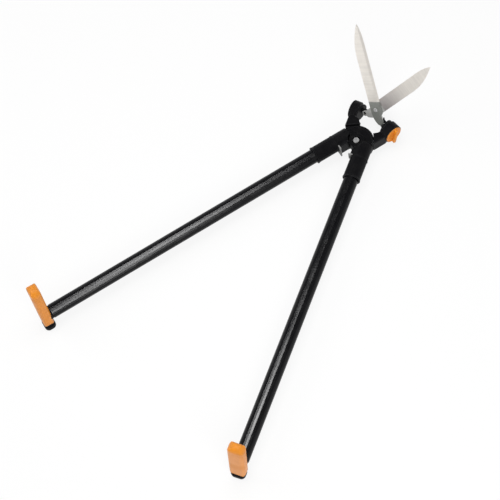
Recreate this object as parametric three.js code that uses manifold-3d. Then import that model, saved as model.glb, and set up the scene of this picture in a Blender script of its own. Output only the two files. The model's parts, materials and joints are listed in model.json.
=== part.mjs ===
// Long-handled grass shears, lying open on the pivot's cap nut and on the feet of both grips.
// Millimetres. X to the side, Y towards the blades, Z up. The origin is under the main pivot,
// on the flat end of its cap nut. The two levers cross at the pivot: the left tube's lever is
// the lower one and carries the right barrel, the right tube's lever lies on it and carries the
// left barrel. In each barrel a round ring swivels, and a spindle turns in the ring, so that the
// blades can be tilted against the handles. A knob on the right barrel locks the tilt.

import * as THREE from 'three';
import { mergeVertices } from 'three/addons/utils/BufferGeometryUtils.js';
import Module from 'manifold-3d';

const wasm = await Module();
wasm.setup();

// Angles of the open pose, in degrees
const handleAngle = 19.1;
const toeAngle = 11;
const bladeTilt = 66.7;
const bladeAngle = 31;
const closeAngle = 14;
const gripForwardLean = 4;
const gripOutwardLean = 4.7;

// Layout of the linkage
const lieHeight = 38;
const tubeOffset = 20.3;
const gripDistance = 742;
const ballSide = 44;
const ballAhead = 59.4;
const pinSide = 25;
const pinRise = 5;
const tailReach = 27.2;

// Clearances
const fitGap = 0.3;
const runGap = 0.6;
const overrun = 5;

// Tubes and their sockets
const tubeWide = 31;
const tubeHigh = 28;
const tubeWall = 1.2;
const socketWall = 2.6;
const neckLength = 3.9;
const socketLength = 51.1;
const socketSeat = 13;
const socketLip = 0.9;
const socketLipLength = 3;
const socketBand = 2.2;
const socketScrewInset = 14;

// Levers
const discRadius = 37;
const upperTop = 2.2;
const upperBottom = -8.4;
const lowerTop = -10.2;
const lowerBottom = -20.5;
const edgeBevel = 1.2;
const bossRadius = 17;
const bossTop = 3.2;
const lowerBossRadius = 15;
const lowerGapFrom = -96;
const lowerGapTo = -38;
const neckEnd = 6;
const bulgeEnd = 19.5;
const neckTop = 11;
const wedgeFrom = 149;
const wedgeTo = 266.5;
const panelAngles = [[8, 101], [121, 144]];
const panelDepth = 1.5;
const panelRim = 4.2;
const pocketAngles = [15, 75, 135];
const pocketHalfAngle = 24;
const armOuter = 33;
const rightArmInner = 10;
const leftArmInner = 3;
const rightArmWaist = 14.5;
const leftArmWaist = 8.5;
const armFoot = 24;
const armTop = 11;
const armBottom = -17;
const pocketDepth = 5;
const ribThickness = 3;

// Main pivot
const boltRadius = 5;
const boltHeadRadius = 6.5;
const boltHeadTop = 4.2;
const boltHeadHeight = 5.2;
const boltSocketAcross = 5;
const boltSocketDepth = 2.6;
const headRecessRadius = 9.4;
const bushWall = 2.4;
const headWasherRadius = 8.2;
const thrustRadius = 14.5;
const pivotWasherRadius = 11;
const washerThickness = 1.6;
const capNutAcross = 17;
const capNutFlat = 7;
const capNutHex = 9;

// Barrels, swivel rings and spindles
const barrelRadius = 20.5;
const seatMouth = 5.5;
const ballRadius = 12;
const ringHalf = 5;
const leftBarrelEnd = 9.6;
const capEnd = 13.4;
const capEdge = 2.2;
const knobFloor = 8;
const knobRim = 12.2;
const knobRadius = 19.2;
const spindleRadius = 4;
const spindleEnd = 7.4;
const clipRadius = 6.4;
const clipThickness = 1.2;
const collarRadius = 7;
const rightFlangeNear = 10.4;
const leftFlangeNear = 6.6;
const flangeThickness = 4;
const flangeRadius = 20;
const seatInner = 10;
const seatLip = 0.4;
const plugThickness = 1.2;
const knobDish = 1.2;
const knobWall = 2.6;
const barWidth = 7.5;
const barRise = 7.5;
const barLength = 37;
const barTurn = 17;

// Blades
const bladeLength = 190.7;
const bladeThickness = 3;
const edgeOffset = 14;
const bladeWidth = 27.5;
const bladeGap = 0.3;
const bevelWidth = 5;
const cuttingLand = 0.36;
const edgeCurveShares = [0.78, 0.93];
const backCurveShares = [0.8, 0.62];
const tipShare = 0.25;
const heelLength = 11;
const tailRadius = 6.2;
const tangSide = 15;
const tangEnd = 10.5;
const tangEndTop = -13;
const tangTurn = -8;
const tangBack = [[-11.3, -20], [-9, -26], [-3.8, -34]];
const stopBump = 3;
const pinRadius = 2.9;
const pinHeadRadius = 4.2;
const pinHeadHeight = 1.8;
const pinShoulderRadius = 4.1;
const openPinClearance = 0.7;
const lugThickness = 4;
const lugTip = [17.5, 20];
const lugShoulder = [22, 13.5];
const lugRoot = 9;
const screwRadius = 3;
const screwHeadRadius = 5;
const screwHeadHeight = 2.2;
const lockNutAcross = 11;
const lockNutHeight = 5;

// Grips
const gripWide = 34;
const gripDeep = 22;
const gripTop = 105;
const gripFoot = 38;
const gripSkinBottom = 26;
const gripCorner = 16;
const gripEdge = 8;
const gripSkin = 3.4;
const footWide = 30;
const footDeep = 24;
const footHeight = 14;
const footCorner = 9;
const footEdge = 5;
const collarLength = 4;
const spigotLength = 38;
const gripScrewRadius = 2.2;
const gripScrewHead = 4.2;
const gripScrewLength = 26;
const gripScrewSink = 1;
const gripScrewHeadHeight = 3.2;

// Rubber buffers on the ends of the levers' necks
const bufferThickness = 2.4;
const bufferOuter = 10;
const bufferTouch = 0.25;

// Facets
const fine = 28;
const medium = 16;
const coarse = 12;
const cornerFacets = 3;

const rad = THREE.MathUtils.degToRad;
const paint = {
  plastic: { color: 0x1b1b1d, roughness: 0.55, metalness: 0 },
  tube: { color: 0x0c0c0e, roughness: 0.22, metalness: 0.1 },
  orange: { color: 0xe8892b, roughness: 0.5, metalness: 0 },
  steel: { color: 0xc9c6c0, roughness: 0.32, metalness: 1 },
  chrome: { color: 0xe6e6e8, roughness: 0.12, metalness: 1 },
  brass: { color: 0xb5985a, roughness: 0.35, metalness: 1 },
  slide: { color: 0xd8d4c8, roughness: 0.6, metalness: 0 },
  rubber: { color: 0x8d8d8c, roughness: 0.85, metalness: 0 },
};

// A closed body from a geometry: shared corners merged, collapsed facets left out, faces outwards
function body(geometry) {
  const bare = geometry.index ? geometry.toNonIndexed() : geometry.clone();
  bare.deleteAttribute('normal');
  bare.deleteAttribute('uv');
  const merged = mergeVertices(bare);
  const places = merged.getAttribute('position').array;
  const corners = [];
  const source = merged.index.array;
  let volume = 0;
  const at = (i) => new THREE.Vector3().fromArray(places, i * 3);
  for (let i = 0; i < source.length; i += 3) {
    const [a, b, c] = [source[i], source[i + 1], source[i + 2]];
    if (a === b || b === c || c === a) continue;
    corners.push(a, b, c);
    volume += at(a).dot(at(b).cross(at(c)));
  }
  if (volume < 0) corners.reverse();
  return new wasm.Manifold(new wasm.Mesh({
    numProp: 3,
    vertProperties: Float32Array.from(places),
    triVerts: Uint32Array.from(corners),
  }));
}

function joined(...bodies) {
  return bodies.reduce((whole, next) => whole.add(next));
}

function cut(whole, ...tools) {
  return tools.reduce((rest, tool) => rest.subtract(tool), whole);
}

// Facets of a closed body, each with its own corners, for a mesh
function facets(solid) {
  const mesh = solid.getMesh();
  const geometry = new THREE.BufferGeometry();
  const places = [];
  for (let i = 0; i < mesh.vertProperties.length; i += mesh.numProp) {
    places.push(...mesh.vertProperties.slice(i, i + 3));
  }
  geometry.setAttribute('position', new THREE.Float32BufferAttribute(places, 3));
  geometry.setIndex([...mesh.triVerts]);
  geometry.computeVertexNormals();
  return geometry;
}

function piece(name, solid, look, group) {
  const mesh = new THREE.Mesh(facets(solid), new THREE.MeshStandardMaterial(paint[look]));
  mesh.name = name;
  group.add(mesh);
  return mesh;
}

// A turned body about the local Z axis. The profile's points are [radius, height].
function turned(profile, frame, facetCount = fine) {
  const points = profile.map(([radius, height]) => new THREE.Vector2(radius, height));
  const geometry = new THREE.LatheGeometry(points, facetCount);
  geometry.rotateX(Math.PI / 2);
  if (frame) geometry.applyMatrix4(frame);
  return body(geometry);
}

function rod(radius, from, to, frame, facetCount = medium) {
  return turned([[0, from], [radius, from], [radius, to], [0, to]], frame, facetCount);
}

function tubeBetween(inner, outer, from, to, frame, facetCount = medium) {
  const profile = [[inner, from], [outer, from], [outer, to], [inner, to], [inner, from]];
  return turned(profile, frame, facetCount);
}

// A flat shape drawn in X and Y, made solid between two heights, with softened edges
function slab(shape, from, to, bevel = 0, facetCount = coarse / 2) {
  const geometry = new THREE.ExtrudeGeometry(shape, {
    depth: to - from - 2 * bevel,
    bevelEnabled: bevel > 0,
    bevelSize: bevel,
    bevelThickness: bevel,
    bevelOffset: -bevel,
    bevelSegments: 1,
    curveSegments: facetCount,
  });
  geometry.translate(0, 0, from + bevel);
  return geometry;
}

function polygon(points) {
  return new THREE.Shape(points.map(([x, y]) => new THREE.Vector2(x, y)));
}

function oval(x, y, halfWide, halfHigh) {
  return new THREE.Shape().absellipse(x, y, halfWide, halfHigh, 0, Math.PI * 2, false, 0);
}

function roundedBox(halfWide, low, high, corner) {
  const shape = new THREE.Shape();
  shape.moveTo(-halfWide + corner, low);
  shape.lineTo(halfWide - corner, low);
  shape.absarc(halfWide - corner, low + corner, corner, -Math.PI / 2, 0, false);
  shape.absarc(halfWide - corner, high - corner, corner, 0, Math.PI / 2, false);
  shape.absarc(-halfWide + corner, high - corner, corner, Math.PI / 2, Math.PI, false);
  shape.absarc(-halfWide + corner, low + corner, corner, Math.PI, Math.PI * 1.5, false);
  return shape;
}

function hexagon(across) {
  const corner = across / Math.sqrt(3);
  const points = [];
  for (let i = 0; i < 6; i += 1) {
    points.push([corner * Math.cos(rad(60 * i)), corner * Math.sin(rad(60 * i))]);
  }
  return polygon(points);
}

// A pie piece of a ring, between two angles in degrees
function ringSector(inner, outer, from, to) {
  const shape = new THREE.Shape();
  shape.absarc(0, 0, outer, rad(from), rad(to), false);
  shape.absarc(0, 0, inner, rad(to), rad(from), true);
  return shape;
}

// Axes given by their directions, as a matrix
function frameAt(place, xAxis, yAxis, zAxis) {
  const matrix = new THREE.Matrix4().makeBasis(xAxis, yAxis, zAxis);
  return matrix.setPosition(place);
}

const up = new THREE.Vector3(0, 0, 1);
const sideways = new THREE.Vector3(1, 0, 0);

// The barrel's frame in its lever: Z along the barrel, outwards, and X up. The arm of the lower
// lever (side 1) points to +X, that of the upper lever (side -1) to -X.
function barrelFrame(side) {
  const turn = rad(handleAngle);
  const x = ballSide * Math.cos(turn) - ballAhead * Math.sin(turn);
  const y = ballSide * Math.sin(turn) + ballAhead * Math.cos(turn);
  const lean = rad(handleAngle - toeAngle);
  const along = new THREE.Vector3(side * Math.cos(lean), Math.sin(lean), 0);
  const place = new THREE.Vector3(side * x, y, 0);
  return frameAt(place, up, new THREE.Vector3().crossVectors(along, up), along);
}

// An oval body along a handle, from one distance behind the pivot to another
function alongHandle(side, halfWide, halfHigh, from, to, facetCount = coarse) {
  const geometry = slab(oval(0, 0, halfWide, halfHigh), from, to, 0, facetCount);
  geometry.rotateX(Math.PI / 2);
  geometry.translate(-side * tubeOffset, 0, 0);
  return body(geometry);
}

// The spindle's frame in its lever once the handles have closed by an angle, in degrees
function spindleFrame(side, closed) {
  const lean = rad(handleAngle - closed);
  const along = new THREE.Vector3(side * Math.cos(lean), Math.sin(lean), 0);
  const place = new THREE.Vector3().setFromMatrixPosition(barrelFrame(side));
  return frameAt(place, up, new THREE.Vector3().crossVectors(along, up), along);
}

const socketHalfWide = tubeWide / 2 + fitGap + socketWall;
const socketHalfHigh = tubeHigh / 2 + fitGap + socketWall;
const socketStart = discRadius + neckLength;
const socketEnd = socketStart + socketLength;
const bufferStart = socketStart - fitGap - bufferThickness;
const tubeStart = socketStart + socketSeat;
const boreRadius = boltRadius + fitGap + bushWall + fitGap;
const ballSeat = ballRadius + fitGap;
const recessRadius = knobRadius + fitGap;

function flangeNear(side) {
  return side > 0 ? rightFlangeNear : leftFlangeNear;
}

// Room that the spindle's flange needs while the handles close
function flangeRoom(side, radius) {
  return [0, closeAngle / 2, closeAngle].map((closed) => rod(radius, -ballSide,
    runGap - flangeNear(side), spindleFrame(side, closed), fine));
}

// Square neck between the disc and the socket, on the inner side. The rubber buffer lies on its end.
function leverNeck(side, low) {
  const outline = polygon([
    [-side * (tubeOffset - socketHalfWide), -neckEnd],
    [-side * (tubeOffset - socketHalfWide), -bufferStart + fitGap],
    [-side * tubeOffset, -bufferStart + fitGap],
    [-side * tubeOffset, -neckEnd],
  ]);
  return body(slab(outline, low, neckTop, socketLip));
}

// Socket for the tube's end. Room is cut in it for the other lever's disc or boss to turn in.
function leverSocket(side, own) {
  const neck = alongHandle(side, socketHalfWide, socketHalfHigh, neckEnd, socketEnd);
  const lip = alongHandle(side, socketHalfWide + socketLip, socketHalfHigh + socketLip,
    socketEnd - socketLipLength, socketEnd);
  const band = alongHandle(side, socketHalfWide + socketLip, socketHalfHigh + socketLip,
    socketStart, socketStart + socketBand);
  const bore = alongHandle(side, tubeWide / 2 + fitGap, tubeHigh / 2 + fitGap,
    tubeStart - fitGap, socketEnd + overrun);
  const lighten = alongHandle(side, tubeWide / 2 - tubeWall, tubeHigh / 2 - tubeWall,
    socketStart + socketBand, socketEnd);
  const hubRoom = rod(bossRadius + runGap, lowerTop, socketHalfHigh + overrun);
  const underRoom = rod(discRadius + runGap, -socketHalfHigh - overrun, upperBottom, null, fine);
  const bulgeRoom = rod(bulgeEnd, upperTop, socketHalfHigh + overrun, null, fine);
  const room = side > 0 ? hubRoom : underRoom.add(bulgeRoom);
  return cut(joined(neck, lip, band, own), bore, lighten, room);
}

function leverArm(side, low, high) {
  const frame = barrelFrame(side);
  const barrelMiddle = new THREE.Vector3().setFromMatrixPosition(frame);
  const along = new THREE.Vector3().setFromMatrixColumn(frame, 2);
  const end = side > 0 ? knobFloor : leftBarrelEnd;
  const inner = side > 0 ? rightArmInner : leftArmInner;
  const waist = side > 0 ? rightArmWaist : leftArmWaist;
  const outerFoot = barrelMiddle.clone().addScaledVector(along, end - edgeBevel);
  const innerFoot = barrelMiddle.clone().addScaledVector(along, runGap - flangeNear(side));
  const outline = polygon([
    [side * inner, discRadius - edgeBevel],
    [side * armOuter, armFoot],
    [side * armOuter, outerFoot.y - barrelRadius],
    [outerFoot.x, outerFoot.y - barrelRadius / 2],
    [outerFoot.x, outerFoot.y],
    [innerFoot.x, innerFoot.y],
    [side * waist, innerFoot.y - barrelRadius / 2],
    [side * waist, discRadius + leftArmWaist],
  ]);
  const tall = body(slab(outline, armBottom, armTop, edgeBevel));
  const hub = rod(discRadius + runGap, side > 0 ? high : armBottom - overrun,
    side > 0 ? armTop + overrun : low, null, fine);
  return cut(tall, hub, ...flangeRoom(side, flangeRadius + runGap));
}

// The barrel at the arm's end. Its inward face follows the flange that swings before it.
function barrelShell(side) {
  const end = side > 0 ? knobRim - fitGap : leftBarrelEnd;
  const shell = turned([
    [0, -flangeNear(side)], [barrelRadius, -flangeNear(side)],
    [barrelRadius, end - edgeBevel], [barrelRadius - edgeBevel, end], [0, end],
  ], barrelFrame(side));
  return cut(shell, ...flangeRoom(side, barrelRadius + overrun));
}

// The ball seat in the barrel, open from the seat outwards
function barrelHollow(side) {
  const frame = barrelFrame(side);
  const end = side > 0 ? knobRim : leftBarrelEnd;
  const seat = new THREE.SphereGeometry(ballSeat, medium, coarse);
  seat.applyMatrix4(frame);
  const bore = rod(ballSeat, 0, end + overrun, frame, medium);
  const mouthRadius = Math.sqrt(ballSeat ** 2 - seatMouth ** 2);
  const mouth = rod(mouthRadius, -flangeNear(side) - overrun, 0, frame, medium);
  const hollow = joined(body(seat), bore, mouth);
  if (side < 0) return hollow;
  return hollow.add(rod(recessRadius, knobFloor, end + overrun, frame, fine));
}

// One of the two crossing levers: socket, disc, arm and barrel in one moulding
function lever(side) {
  const low = side > 0 ? lowerBottom : upperBottom;
  const high = side > 0 ? lowerTop : upperTop;
  let disc = body(slab(oval(0, 0, discRadius, discRadius), low, high, edgeBevel, fine / 2));
  if (side > 0) {
    const gap = ringSector(lowerBossRadius, discRadius + overrun, lowerGapFrom, lowerGapTo);
    disc = disc.subtract(body(slab(gap, lowerBottom - overrun, lowerTop + overrun)));
  }
  const moulding = joined(disc, leverNeck(side, low), leverArm(side, low, high));
  let whole = leverSocket(side, moulding);
  if (side < 0) {
    const wedge = ringSector(bossRadius, discRadius * 2, wedgeFrom, wedgeTo);
    whole = whole.subtract(body(slab(wedge, upperBottom - overrun, neckTop + overrun)));
    whole = whole.add(rod(bossRadius, upperBottom, bossTop, null, fine));
    // Shallow panels in the upper face leave a rim and two ribs
    for (const [from, to] of panelAngles) {
      const panel = ringSector(bossRadius, discRadius - panelRim, from, to);
      whole = whole.subtract(body(slab(panel, upperTop - panelDepth, upperTop + overrun)));
    }
    const headRoom = boltHeadTop - boltHeadHeight - washerThickness - fitGap;
    whole = whole.subtract(rod(headRecessRadius, headRoom, bossTop + overrun));
  } else {
    // Pockets under the disc leave a rim, a hub and ribs
    for (const middle of pocketAngles) {
      const pocket = ringSector(lowerBossRadius, discRadius - ribThickness * 2,
        middle - pocketHalfAngle, middle + pocketHalfAngle);
      whole = whole.subtract(body(slab(pocket, lowerBottom - overrun, lowerBottom + pocketDepth)));
    }
  }
  const bore = rod(boreRadius, lowerBottom - overrun, bossTop + overrun);
  return cut(whole.add(barrelShell(side)), barrelHollow(side), bore);
}

function tubeSolid(side) {
  const end = gripDistance - gripDeep / 2 - collarLength;
  const outside = alongHandle(side, tubeWide / 2, tubeHigh / 2, tubeStart, end);
  const inside = alongHandle(side, tubeWide / 2 - tubeWall, tubeHigh / 2 - tubeWall,
    tubeStart - overrun, end + overrun);
  return outside.subtract(inside);
}

// Grip pieces are drawn about the point where the grip's axis meets the tube's axis,
// with Y along the tube towards the pivot
function pillow(wide, deep, low, high, corner, edge) {
  const front = body(slab(roundedBox(wide / 2, low, high, corner), -deep, deep, 0, cornerFacets)
    .rotateX(Math.PI / 2));
  const profile = slab(roundedBox(deep / 2, low, high, deep / 2), -wide, wide, 0, cornerFacets);
  profile.rotateX(Math.PI / 2);
  profile.rotateZ(Math.PI / 2);
  const plan = body(slab(roundedBox(wide / 2, -deep / 2, deep / 2, edge), low - overrun,
    high + overrun, 0, cornerFacets));
  return front.intersect(body(profile)).intersect(plan);
}

// The grip's axis leans forwards and outwards, while its foot stays flat
function gripLean(side) {
  const turn = new THREE.Euler(-rad(gripForwardLean), -side * rad(gripOutwardLean), 0);
  return new THREE.Matrix4().makeRotationFromEuler(turn);
}

function footPlace(side) {
  return new THREE.Vector3(0, 0, -gripFoot).applyMatrix4(gripLean(side));
}

function gripSkinSolid(side) {
  const outer = pillow(gripWide, gripDeep, -gripSkinBottom, gripTop, gripCorner, gripEdge);
  const inner = pillow(gripWide - 2 * gripSkin, gripDeep - 2 * gripSkin,
    -gripSkinBottom - gripDeep, gripTop - gripSkin, gripCorner - gripSkin, gripEdge - gripSkin);
  const shell = outer.subtract(inner).transform(gripLean(side).elements);
  const forward = new THREE.Matrix4().makeRotationX(-Math.PI / 2);
  const collar = rod(tubeHigh / 2 + fitGap * 2, 0, gripDeep, forward, medium);
  return cut(shell, collar, footSolid(side, fitGap));
}

function footSolid(side, extra) {
  const back = gripDeep / 2;
  const shape = roundedBox(footWide / 2 + extra, -back - extra, footDeep - back + extra, footCorner);
  const block = slab(shape, -gripFoot - extra, -gripFoot + footHeight + extra,
    footEdge / 2 - extra, cornerFacets);
  const place = footPlace(side);
  return body(block.translate(place.x, place.y, 0));
}

function gripCoreSolid(side) {
  const slack = gripSkin + fitGap;
  const column = pillow(gripWide - 2 * slack, gripDeep - 2 * slack, -gripFoot + footEdge,
    gripTop - slack, gripCorner - slack, gripEdge - slack).transform(gripLean(side).elements);
  const forward = new THREE.Matrix4().makeRotationX(-Math.PI / 2);
  const collar = rod(tubeHigh / 2 + fitGap, 0, gripDeep / 2 + collarLength - fitGap, forward);
  const spigot = rod(tubeHigh / 2 - tubeWall - fitGap, 0, gripDeep / 2 + collarLength + spigotLength,
    forward);
  const place = footPlace(side);
  const upright = new THREE.Matrix4().makeTranslation(place.x, place.y, 0);
  const screwHole = rod(gripScrewRadius + fitGap, -gripFoot - overrun,
    -gripFoot + gripScrewLength + gripScrewSink + fitGap, upright, coarse);
  const headHole = rod(gripScrewHead + fitGap, -gripFoot - overrun,
    -gripFoot + gripScrewSink + gripScrewHeadHeight, upright, coarse);
  return cut(joined(column, footSolid(side, 0), collar, spigot), screwHole, headHole);
}

function gripScrewSolid(side) {
  const place = footPlace(side);
  const start = -gripFoot + gripScrewSink;
  const head = gripScrewHeadHeight - fitGap;
  return turned([
    [0, start], [gripScrewHead, start], [gripScrewHead, start + head / 2],
    [gripScrewRadius, start + head], [gripScrewRadius, start + gripScrewLength - head],
    [0, start + gripScrewLength],
  ], new THREE.Matrix4().makeTranslation(place.x, place.y, 0), coarse);
}

// The buffers' inner edges meet when the handles close
const bufferFace = bufferStart * Math.tan(rad(handleAngle - closeAngle)) - bufferTouch;

function bufferSolid(side) {
  const outline = polygon([
    [side * bufferFace, -bufferStart],
    [side * bufferFace, -bufferStart - bufferThickness],
    [-side * bufferOuter, -bufferStart - bufferThickness],
    [-side * bufferOuter, -bufferStart],
  ]);
  const plate = body(slab(outline, side > 0 ? lowerBottom : upperBottom, neckTop));
  return plate.subtract(alongHandle(side, socketHalfWide + fitGap, socketHalfHigh + fitGap,
    neckEnd, socketEnd));
}

const socketScrewPlace = socketEnd - socketScrewInset;

function socketScrewFrame(side) {
  return new THREE.Matrix4().makeTranslation(-side * tubeOffset, -socketScrewPlace, -socketHalfHigh);
}

function socketScrewSolid(side) {
  const depth = socketWall + fitGap + tubeWall * 2;
  return turned([
    [0, -pinHeadHeight], [gripScrewHead - edgeBevel, -pinHeadHeight], [gripScrewHead, -fitGap],
    [gripScrewRadius, -fitGap], [gripScrewRadius, depth], [0, depth],
  ], socketScrewFrame(side), coarse);
}

function socketScrewHole(side) {
  return rod(gripScrewRadius + fitGap, -overrun, tubeHigh / 2, socketScrewFrame(side), coarse);
}

// Swivel ring: a ball with its ends cut off and a bore across
function swivelRingSolid() {
  const steps = 6;
  const half = Math.asin(ringHalf / ballRadius);
  const profile = [];
  for (let i = 0; i <= steps; i += 1) {
    const angle = -half + (2 * half * i) / steps;
    profile.push([ballRadius * Math.cos(angle), ballRadius * Math.sin(angle)]);
  }
  const inner = spindleRadius + fitGap;
  profile.push([inner, ringHalf], [inner, -ringHalf], [...profile[0]]);
  return turned(profile, null, medium);
}

// Seat ring behind the ball, hollow for the spindle's end, with a round face to the ball
function seatRingSolid(frame) {
  const steps = 5;
  const outer = ballSeat - fitGap;
  const reach = ballSeat + fitGap;
  const profile = [];
  const from = Math.acos(outer / reach);
  const to = Math.acos(seatInner / reach);
  for (let i = 0; i <= steps; i += 1) {
    const angle = from + ((to - from) * i) / steps;
    profile.push([reach * Math.cos(angle), reach * Math.sin(angle)]);
  }
  const backFace = reach * Math.sin(to) + seatLip;
  profile.push([seatInner, backFace], [outer, backFace], [...profile[0]]);
  return { solid: turned(profile, frame, medium), backFace };
}

// The tail pins and the tilted plane of the blades
const tiltTurn = rad(bladeTilt);
const bladeFrame = frameAt(
  new THREE.Vector3(0, ballAhead, 0),
  sideways,
  new THREE.Vector3(0, Math.cos(tiltTurn), Math.sin(tiltTurn)),
  new THREE.Vector3(0, -Math.sin(tiltTurn), Math.cos(tiltTurn)),
);

// A blade about its pivot, pointing along Y, with its cutting edge towards +X
function bladeOutline() {
  const back = edgeOffset - bladeWidth;
  const tailTurn = rad(bladeAngle);
  const eyeX = pinSide * Math.cos(tailTurn) - tailReach * Math.sin(tailTurn);
  const eyeY = -pinSide * Math.sin(tailTurn) - tailReach * Math.cos(tailTurn);
  const shape = new THREE.Shape();
  const tipX = edgeOffset - bladeWidth * tipShare;
  const [edgeCurve, edgePull] = edgeCurveShares.map((share) => bladeLength * share);
  const [backPull, backCurve] = backCurveShares.map((share) => bladeLength * share);
  shape.moveTo(edgeOffset, heelLength);
  shape.lineTo(edgeOffset, edgeCurve);
  shape.quadraticCurveTo(edgeOffset, edgePull, tipX, bladeLength);
  shape.quadraticCurveTo(back, backPull, back, backCurve);
  shape.lineTo(back, heelLength);
  shape.lineTo(back, tangTurn);
  for (const [x, y] of tangBack) {
    shape.lineTo(x, y);
  }
  shape.lineTo(eyeX - tailRadius, eyeY);
  const lastTurn = Math.acos((tangEnd - eyeX) / tailRadius);
  shape.absarc(eyeX, eyeY, tailRadius, Math.PI, Math.PI * 2 + lastTurn, false);
  shape.lineTo(tangEnd, tangEndTop);
  shape.lineTo(tangSide, tangTurn);
  shape.lineTo(tangSide, heelLength - stopBump);
  return { shape, eyeX, eyeY };
}

// side 1 is the front blade, whose tip points to -X. The rear blade is its mirror image below.
function bladeSolid(side, eyeClearance) {
  const { shape, eyeX, eyeY } = bladeOutline();
  const low = side > 0 ? bladeGap / 2 : -bladeGap / 2 - bladeThickness;
  const plate = slab(shape, low, low + bladeThickness);
  const outerFace = side > 0 ? low + bladeThickness : low;
  const innerFace = side > 0 ? low : low + bladeThickness;
  // The ground bevel takes a wedge off the outer face along the cutting edge
  const wedge = polygon([
    [edgeOffset + overrun, outerFace + side * overrun],
    [edgeOffset - bevelWidth, outerFace + side * fitGap / 2],
    [edgeOffset - bevelWidth, outerFace],
    [edgeOffset, innerFace + side * cuttingLand],
    [edgeOffset + overrun, innerFace + side * cuttingLand],
  ]);
  const grind = slab(wedge, heelLength + stopBump, bladeLength + overrun);
  grind.rotateX(Math.PI / 2);
  grind.rotateZ(Math.PI);
  grind.scale(-1, 1, 1);
  const eye = rod(pinRadius + eyeClearance, -bladeWidth, bladeWidth,
    new THREE.Matrix4().makeTranslation(eyeX, eyeY, 0));
  const pivot = rod(screwRadius + fitGap, -bladeWidth, bladeWidth, null, coarse);
  const whole = cut(body(plate), body(grind), eye, pivot);
  return side > 0 ? whole : mirrorAcross(whole);
}

function mirrorAcross(solid) {
  const geometry = facets(solid);
  geometry.scale(-1, 1, 1);
  return body(geometry);
}

// The lugs lie under both blades. Their outline is drawn in the blades' plane from the ball's
// centre: to the tail pin, round it, up to a tip and back to the flange.
const lugTop = -bladeGap / 2 - bladeThickness - fitGap;
const pinReach = ballSide - pinSide;

function lugShape(side) {
  const lug = new THREE.Shape();
  lug.moveTo(-side * flangeNear(side), pinRise - tailRadius);
  lug.lineTo(-side * pinReach, pinRise - tailRadius);
  lug.absarc(-side * pinReach, pinRise, tailRadius, -Math.PI / 2, side > 0 ? -Math.PI : 0, side > 0);
  lug.lineTo(side * (lugTip[0] - ballSide), lugTip[1]);
  lug.lineTo(side * (lugShoulder[0] - ballSide), lugShoulder[1]);
  lug.lineTo(-side * flangeNear(side), lugRoot);
  return lug;
}

// Spindle with its flange and lug, about the ball's centre. X points outwards on the right side.
function spindleSolid(side) {
  const outwards = new THREE.Vector3(side, 0, 0);
  const frame = frameAt(new THREE.Vector3(), up, new THREE.Vector3().crossVectors(outwards, up),
    outwards);
  const near = flangeNear(side);
  const far = near + flangeThickness;
  const grooveEnd = ringHalf + fitGap * 2 + clipThickness;
  const turnedPart = turned([
    [0, -far], [flangeRadius - socketLip, -far], [flangeRadius, -far + socketLip],
    [flangeRadius, -near], [collarRadius, -near], [collarRadius, -ringHalf - fitGap],
    [spindleRadius, -ringHalf - fitGap], [spindleRadius, ringHalf + fitGap],
    [spindleRadius - socketLip, ringHalf + fitGap], [spindleRadius - socketLip, grooveEnd],
    [spindleRadius, grooveEnd], [spindleRadius, spindleEnd], [0, spindleEnd],
  ], frame);
  const tilt = new THREE.Matrix4().makeRotationX(tiltTurn);
  const pinAxis = new THREE.Matrix4().makeTranslation(-side * pinReach, pinRise, 0).premultiply(tilt);
  const lug = slab(lugShape(side), lugTop - lugThickness, lugTop, 0, cornerFacets);
  let whole = joined(turnedPart, body(lug.applyMatrix4(tilt)));
  if (side > 0) {
    // The front blade's tail lies higher, so a channel in the flange clears it
    const channel = polygon([
      [-far - overrun, -flangeRadius - overrun],
      [tailRadius + runGap - pinReach, -flangeRadius - overrun],
      [tailRadius + runGap - pinReach, flangeRadius + overrun],
      [-far - overrun, flangeRadius + overrun],
    ]);
    const clear = slab(channel, -bladeGap / 2, bladeGap / 2 + bladeThickness + fitGap);
    whole = whole.subtract(body(clear.applyMatrix4(tilt)));
  }
  return whole.subtract(rod(pinRadius + fitGap, -bladeWidth, bladeWidth, pinAxis));
}

function clipSolid(side) {
  const start = ringHalf + fitGap * 2;
  const outwards = new THREE.Vector3(side, 0, 0);
  const frame = frameAt(new THREE.Vector3(), up, new THREE.Vector3().crossVectors(outwards, up),
    outwards);
  return tubeBetween(spindleRadius - socketLip + fitGap, clipRadius, start,
    start + clipThickness - fitGap, frame, coarse);
}

// Tail pin, riveted flush with the blade's upper face, with its head under the lug. The front
// blade's tail lies higher and rests on a shoulder of its pin.
function tailPinSolid(side) {
  const top = side > 0 ? bladeGap / 2 + bladeThickness : -bladeGap / 2;
  const seat = lugTop - lugThickness - fitGap;
  const shoulder = side < 0 ? [] : [
    [pinRadius, lugTop + fitGap], [pinShoulderRadius, lugTop + fitGap],
    [pinShoulderRadius, -bladeGap / 2], [pinRadius, -bladeGap / 2],
  ];
  return turned([
    [0, seat - pinHeadHeight], [pinHeadRadius - edgeBevel, seat - pinHeadHeight],
    [pinHeadRadius, seat], [pinRadius, seat], ...shoulder, [pinRadius, top], [0, top],
  ], null, medium);
}

// The main groups. The handles turn about the pivot, the tube axes lie at lieHeight.
const shears = new THREE.Group();
shears.position.z = lieHeight;
const leftHandle = new THREE.Group();
leftHandle.rotation.z = -rad(handleAngle);
const rightHandle = new THREE.Group();
rightHandle.rotation.z = rad(handleAngle);
shears.add(leftHandle, rightHandle);

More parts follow.
